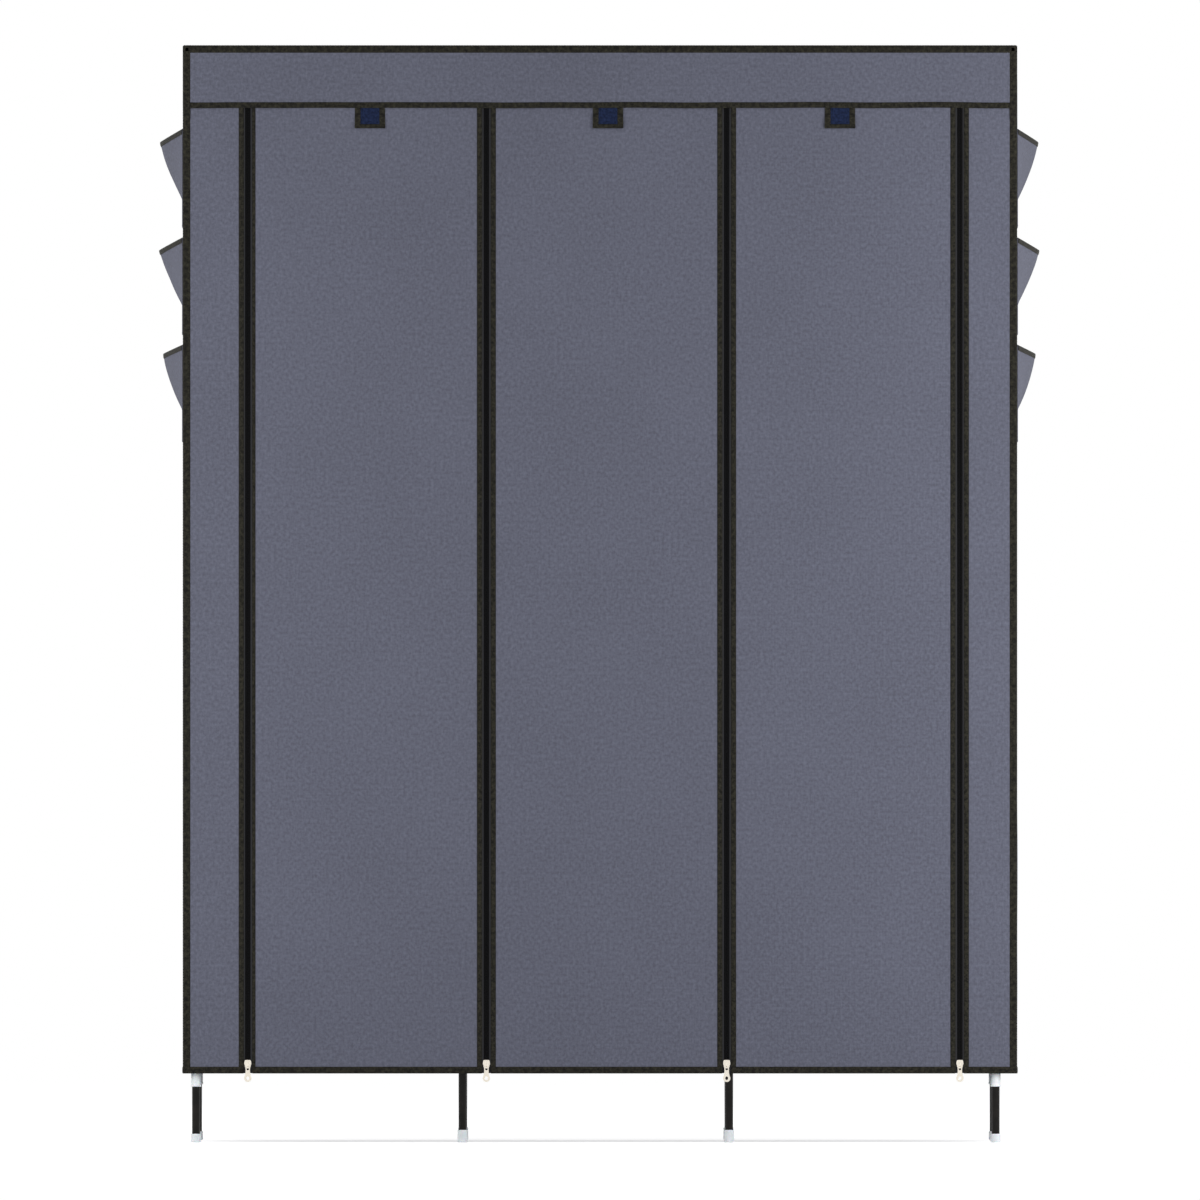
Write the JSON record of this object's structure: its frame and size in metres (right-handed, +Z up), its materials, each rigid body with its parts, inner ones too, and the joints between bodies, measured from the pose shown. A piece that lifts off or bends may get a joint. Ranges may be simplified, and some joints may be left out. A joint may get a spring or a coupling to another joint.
{
  "type": "portable fabric wardrobe",
  "caption": "Wide cloth-covered wardrobe on a thin tube frame, with zipped cloth doors that fold up, open pockets on both sides and short legs.",
  "frame": {"origin": "middle of the bounding box, on the floor under the feet", "axes": "+Z up, -Y towards the front with the doors, +X to the right seen from the front"},
  "size_m": [1.3718, 0.4532, 1.71],
  "materials": {
    "cover_cloth": "matt non-woven cloth",
    "pocket_cloth": "matt non-woven cloth",
    "frame_steel": "semi-gloss powder coat",
    "foot_plastic": "moulded, satin",
    "zipper_nylon": "nylon coil",
    "slider_nickel": "nickel plated"
  },
  "bodies": {
    "wardrobe": {"post_front_1": "frame_steel", "foot_front_1": "foot_plastic", "post_front_2": "frame_steel", "foot_front_2": "foot_plastic", "post_front_3": "frame_steel", "foot_front_3": "foot_plastic", "post_front_4": "frame_steel", "foot_front_4": "foot_plastic", "post_back_1": "frame_steel", "foot_back_1": "foot_plastic", "post_back_2": "frame_steel", "foot_back_2": "foot_plastic", "post_back_3": "frame_steel", "foot_back_3": "foot_plastic", "post_back_4": "frame_steel", "foot_back_4": "foot_plastic", "bottom_rail_frame": "frame_steel", "top_rail_frame": "frame_steel", "hanging_rail_left": "frame_steel", "hanging_rail_right": "frame_steel", "middle_shelf_lower": "cover_cloth", "middle_shelf_upper": "cover_cloth", "side_panel_left": "cover_cloth", "side_panel_right": "cover_cloth", "roof_panel": "cover_cloth", "back_panel": "cover_cloth", "front_valance": "cover_cloth", "pocket_left_1": "pocket_cloth", "pocket_left_2": "pocket_cloth", "pocket_left_3": "pocket_cloth", "pocket_right_1": "pocket_cloth", "pocket_right_2": "pocket_cloth", "pocket_right_3": "pocket_cloth", "door_left_top": "cover_cloth", "door_middle_top": "cover_cloth", "door_right_top": "cover_cloth", "zipper_chain_1": "zipper_nylon", "zipper_chain_2": "zipper_nylon", "zipper_chain_3": "zipper_nylon", "zipper_chain_4": "zipper_nylon"},
    "door_left_panel_1": {"door_left_panel_1": "cover_cloth"},
    "door_left_panel_2": {"door_left_panel_2": "cover_cloth"},
    "door_left_panel_3": {"door_left_panel_3": "cover_cloth"},
    "door_left_panel_4": {"door_left_panel_4": "cover_cloth"},
    "door_middle_panel_1": {"door_middle_panel_1": "cover_cloth"},
    "door_middle_panel_2": {"door_middle_panel_2": "cover_cloth"},
    "door_middle_panel_3": {"door_middle_panel_3": "cover_cloth"},
    "door_middle_panel_4": {"door_middle_panel_4": "cover_cloth"},
    "door_right_panel_1": {"door_right_panel_1": "cover_cloth"},
    "door_right_panel_2": {"door_right_panel_2": "cover_cloth"},
    "door_right_panel_3": {"door_right_panel_3": "cover_cloth"},
    "door_right_panel_4": {"door_right_panel_4": "cover_cloth"},
    "zipper_slider_1": {"zipper_slider_1": "slider_nickel"},
    "zipper_pull_1": {"zipper_pull_1": "slider_nickel"},
    "zipper_slider_2": {"zipper_slider_2": "slider_nickel"},
    "zipper_pull_2": {"zipper_pull_2": "slider_nickel"},
    "zipper_slider_3": {"zipper_slider_3": "slider_nickel"},
    "zipper_pull_3": {"zipper_pull_3": "slider_nickel"},
    "zipper_slider_4": {"zipper_slider_4": "slider_nickel"},
    "zipper_pull_4": {"zipper_pull_4": "slider_nickel"}
  },
  "joints": [
    {"name": "door_left_fold_1", "type": "hinge", "parent": "wardrobe", "child": "door_left_panel_1", "pos_m": [-0.36302, -0.22473, 1.2792], "axis": [-1, 0, 0], "range_deg": [0, 179]},
    {"name": "door_left_fold_2", "type": "hinge", "parent": "door_left_panel_1", "child": "door_left_panel_2", "pos_m": [-0.36302, -0.21673, 0.9864], "axis": [1, 0, 0], "range_deg": [0, 179]},
    {"name": "door_left_fold_3", "type": "hinge", "parent": "door_left_panel_2", "child": "door_left_panel_3", "pos_m": [-0.36302, -0.22473, 0.6936], "axis": [-1, 0, 0], "range_deg": [0, 179]},
    {"name": "door_left_fold_4", "type": "hinge", "parent": "door_left_panel_3", "child": "door_left_panel_4", "pos_m": [-0.36302, -0.21673, 0.4008], "axis": [1, 0, 0], "range_deg": [0, 179]},
    {"name": "door_middle_fold_1", "type": "hinge", "parent": "wardrobe", "child": "door_middle_panel_1", "pos_m": [0.01021, -0.22473, 1.2792], "axis": [-1, 0, 0], "range_deg": [0, 179]},
    {"name": "door_middle_fold_2", "type": "hinge", "parent": "door_middle_panel_1", "child": "door_middle_panel_2", "pos_m": [0.01021, -0.21673, 0.9864], "axis": [1, 0, 0], "range_deg": [0, 179]},
    {"name": "door_middle_fold_3", "type": "hinge", "parent": "door_middle_panel_2", "child": "door_middle_panel_3", "pos_m": [0.01021, -0.22473, 0.6936], "axis": [-1, 0, 0], "range_deg": [0, 179]},
    {"name": "door_middle_fold_4", "type": "hinge", "parent": "door_middle_panel_3", "child": "door_middle_panel_4", "pos_m": [0.01021, -0.21673, 0.4008], "axis": [1, 0, 0], "range_deg": [0, 179]},
    {"name": "door_right_fold_1", "type": "hinge", "parent": "wardrobe", "child": "door_right_panel_1", "pos_m": [0.37921, -0.22473, 1.2792], "axis": [-1, 0, 0], "range_deg": [0, 179]},
    {"name": "door_right_fold_2", "type": "hinge", "parent": "door_right_panel_1", "child": "door_right_panel_2", "pos_m": [0.37921, -0.21673, 0.9864], "axis": [1, 0, 0], "range_deg": [0, 179]},
    {"name": "door_right_fold_3", "type": "hinge", "parent": "door_right_panel_2", "child": "door_right_panel_3", "pos_m": [0.37921, -0.22473, 0.6936], "axis": [-1, 0, 0], "range_deg": [0, 179]},
    {"name": "door_right_fold_4", "type": "hinge", "parent": "door_right_panel_3", "child": "door_right_panel_4", "pos_m": [0.37921, -0.21673, 0.4008], "axis": [1, 0, 0], "range_deg": [0, 179]},
    {"name": "zipper_slide_1", "type": "slide", "parent": "wardrobe", "child": "zipper_slider_1", "axis": [0, 0, 1], "range_m": [0, 1.483]},
    {"name": "zipper_pull_hinge_1", "type": "hinge", "parent": "zipper_slider_1", "child": "zipper_pull_1", "pos_m": [-0.54899, -0.22437, 0.117], "axis": [-1, 0, 0], "range_deg": [0, 150]},
    {"name": "zipper_slide_2", "type": "slide", "parent": "wardrobe", "child": "zipper_slider_2", "axis": [0, 0, 1], "range_m": [0, 1.483]},
    {"name": "zipper_pull_hinge_2", "type": "hinge", "parent": "zipper_slider_2", "child": "zipper_pull_2", "pos_m": [-0.17706, -0.22437, 0.117], "axis": [-1, 0, 0], "range_deg": [0, 150]},
    {"name": "zipper_slide_3", "type": "slide", "parent": "wardrobe", "child": "zipper_slider_3", "axis": [0, 0, 1], "range_m": [0, 1.483]},
    {"name": "zipper_pull_hinge_3", "type": "hinge", "parent": "zipper_slider_3", "child": "zipper_pull_3", "pos_m": [0.19747, -0.22437, 0.117], "axis": [-1, 0, 0], "range_deg": [0, 150]},
    {"name": "zipper_slide_4", "type": "slide", "parent": "wardrobe", "child": "zipper_slider_4", "axis": [0, 0, 1], "range_m": [0, 1.483]},
    {"name": "zipper_pull_hinge_4", "type": "hinge", "parent": "zipper_slider_4", "child": "zipper_pull_4", "pos_m": [0.56095, -0.22437, 0.117], "axis": [-1, 0, 0], "range_deg": [0, 150]}
  ],
  "couplings": [
    {"joint": "door_left_fold_2", "follows": "door_left_fold_1", "ratio": 1},
    {"joint": "door_left_fold_3", "follows": "door_left_fold_1", "ratio": 1},
    {"joint": "door_left_fold_4", "follows": "door_left_fold_1", "ratio": 1},
    {"joint": "door_middle_fold_2", "follows": "door_middle_fold_1", "ratio": 1},
    {"joint": "door_middle_fold_3", "follows": "door_middle_fold_1", "ratio": 1},
    {"joint": "door_middle_fold_4", "follows": "door_middle_fold_1", "ratio": 1},
    {"joint": "door_right_fold_2", "follows": "door_right_fold_1", "ratio": 1},
    {"joint": "door_right_fold_3", "follows": "door_right_fold_1", "ratio": 1},
    {"joint": "door_right_fold_4", "follows": "door_right_fold_1", "ratio": 1}
  ]
}
